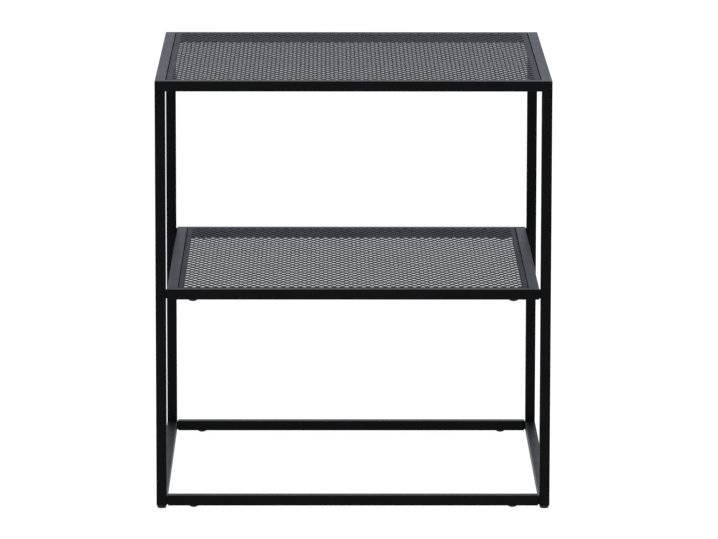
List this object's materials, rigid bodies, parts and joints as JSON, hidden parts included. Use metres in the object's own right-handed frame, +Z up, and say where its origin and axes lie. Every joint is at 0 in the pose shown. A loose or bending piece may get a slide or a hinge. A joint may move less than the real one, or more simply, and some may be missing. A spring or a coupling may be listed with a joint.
{
  "type": "side table",
  "caption": "Open box-frame side table of square steel tube, with perforated sheet panels set into its top and its shelf, screwed cross rails and round levelling feet.",
  "frame": {"origin": "centre of the table's footprint, on the floor", "axes": "+X to the table's right, +Y to its back, +Z up"},
  "size_m": [0.456, 0.456, 0.5],
  "materials": {
    "powder_coat": "fine-textured satin black powder coat",
    "panel_coat": "fine-textured satin black powder coat on perforated sheet",
    "zinc_steel": "bright zinc plating",
    "black_screw": "black oxide, slightly oily",
    "nylon": "moulded black nylon"
  },
  "bodies": {
    "frame": {"top_front_rail": "powder_coat", "top_rear_rail": "powder_coat", "top_left_rail": "powder_coat", "top_right_rail": "powder_coat", "top_stubs": "powder_coat", "top_panel_ledges": "powder_coat", "left_front_upright": "powder_coat", "left_rear_upright": "powder_coat", "left_bottom_rail": "powder_coat", "right_front_upright": "powder_coat", "right_rear_upright": "powder_coat", "right_bottom_rail": "powder_coat", "shelf_front_rail": "powder_coat", "shelf_rear_rail": "powder_coat", "shelf_left_rail": "powder_coat", "shelf_right_rail": "powder_coat", "shelf_stubs": "powder_coat", "shelf_panel_ledges": "powder_coat", "bottom_front_rail": "powder_coat", "bottom_rear_rail": "powder_coat", "bottom_stubs": "powder_coat", "top_screws": "black_screw", "shelf_screws": "black_screw", "bottom_screws": "black_screw", "foot_nuts": "zinc_steel"},
    "top_panel_insert": {"top_panel": "panel_coat"},
    "shelf_panel_insert": {"shelf_panel": "panel_coat"},
    "left_front_leveller": {"left_front_foot": "nylon", "left_front_stud": "zinc_steel"},
    "left_rear_leveller": {"left_rear_foot": "nylon", "left_rear_stud": "zinc_steel"},
    "right_front_leveller": {"right_front_foot": "nylon", "right_front_stud": "zinc_steel"},
    "right_rear_leveller": {"right_rear_foot": "nylon", "right_rear_stud": "zinc_steel"}
  },
  "joints": [
    {"name": "top_panel_lift", "type": "slide", "parent": "frame", "child": "top_panel_insert", "axis": [0, 0, 1], "range_m": [0, 0.05]},
    {"name": "shelf_panel_lift", "type": "slide", "parent": "frame", "child": "shelf_panel_insert", "axis": [0, 0, 1], "range_m": [0, 0.05]},
    {"name": "left_front_foot_adjust", "type": "slide", "parent": "frame", "child": "left_front_leveller", "axis": [0, 0, -1], "range_m": [0, 0.004]},
    {"name": "left_rear_foot_adjust", "type": "slide", "parent": "frame", "child": "left_rear_leveller", "axis": [0, 0, -1], "range_m": [0, 0.004]},
    {"name": "right_front_foot_adjust", "type": "slide", "parent": "frame", "child": "right_front_leveller", "axis": [0, 0, -1], "range_m": [0, 0.004]},
    {"name": "right_rear_foot_adjust", "type": "slide", "parent": "frame", "child": "right_rear_leveller", "axis": [0, 0, -1], "range_m": [0, 0.004]}
  ]
}
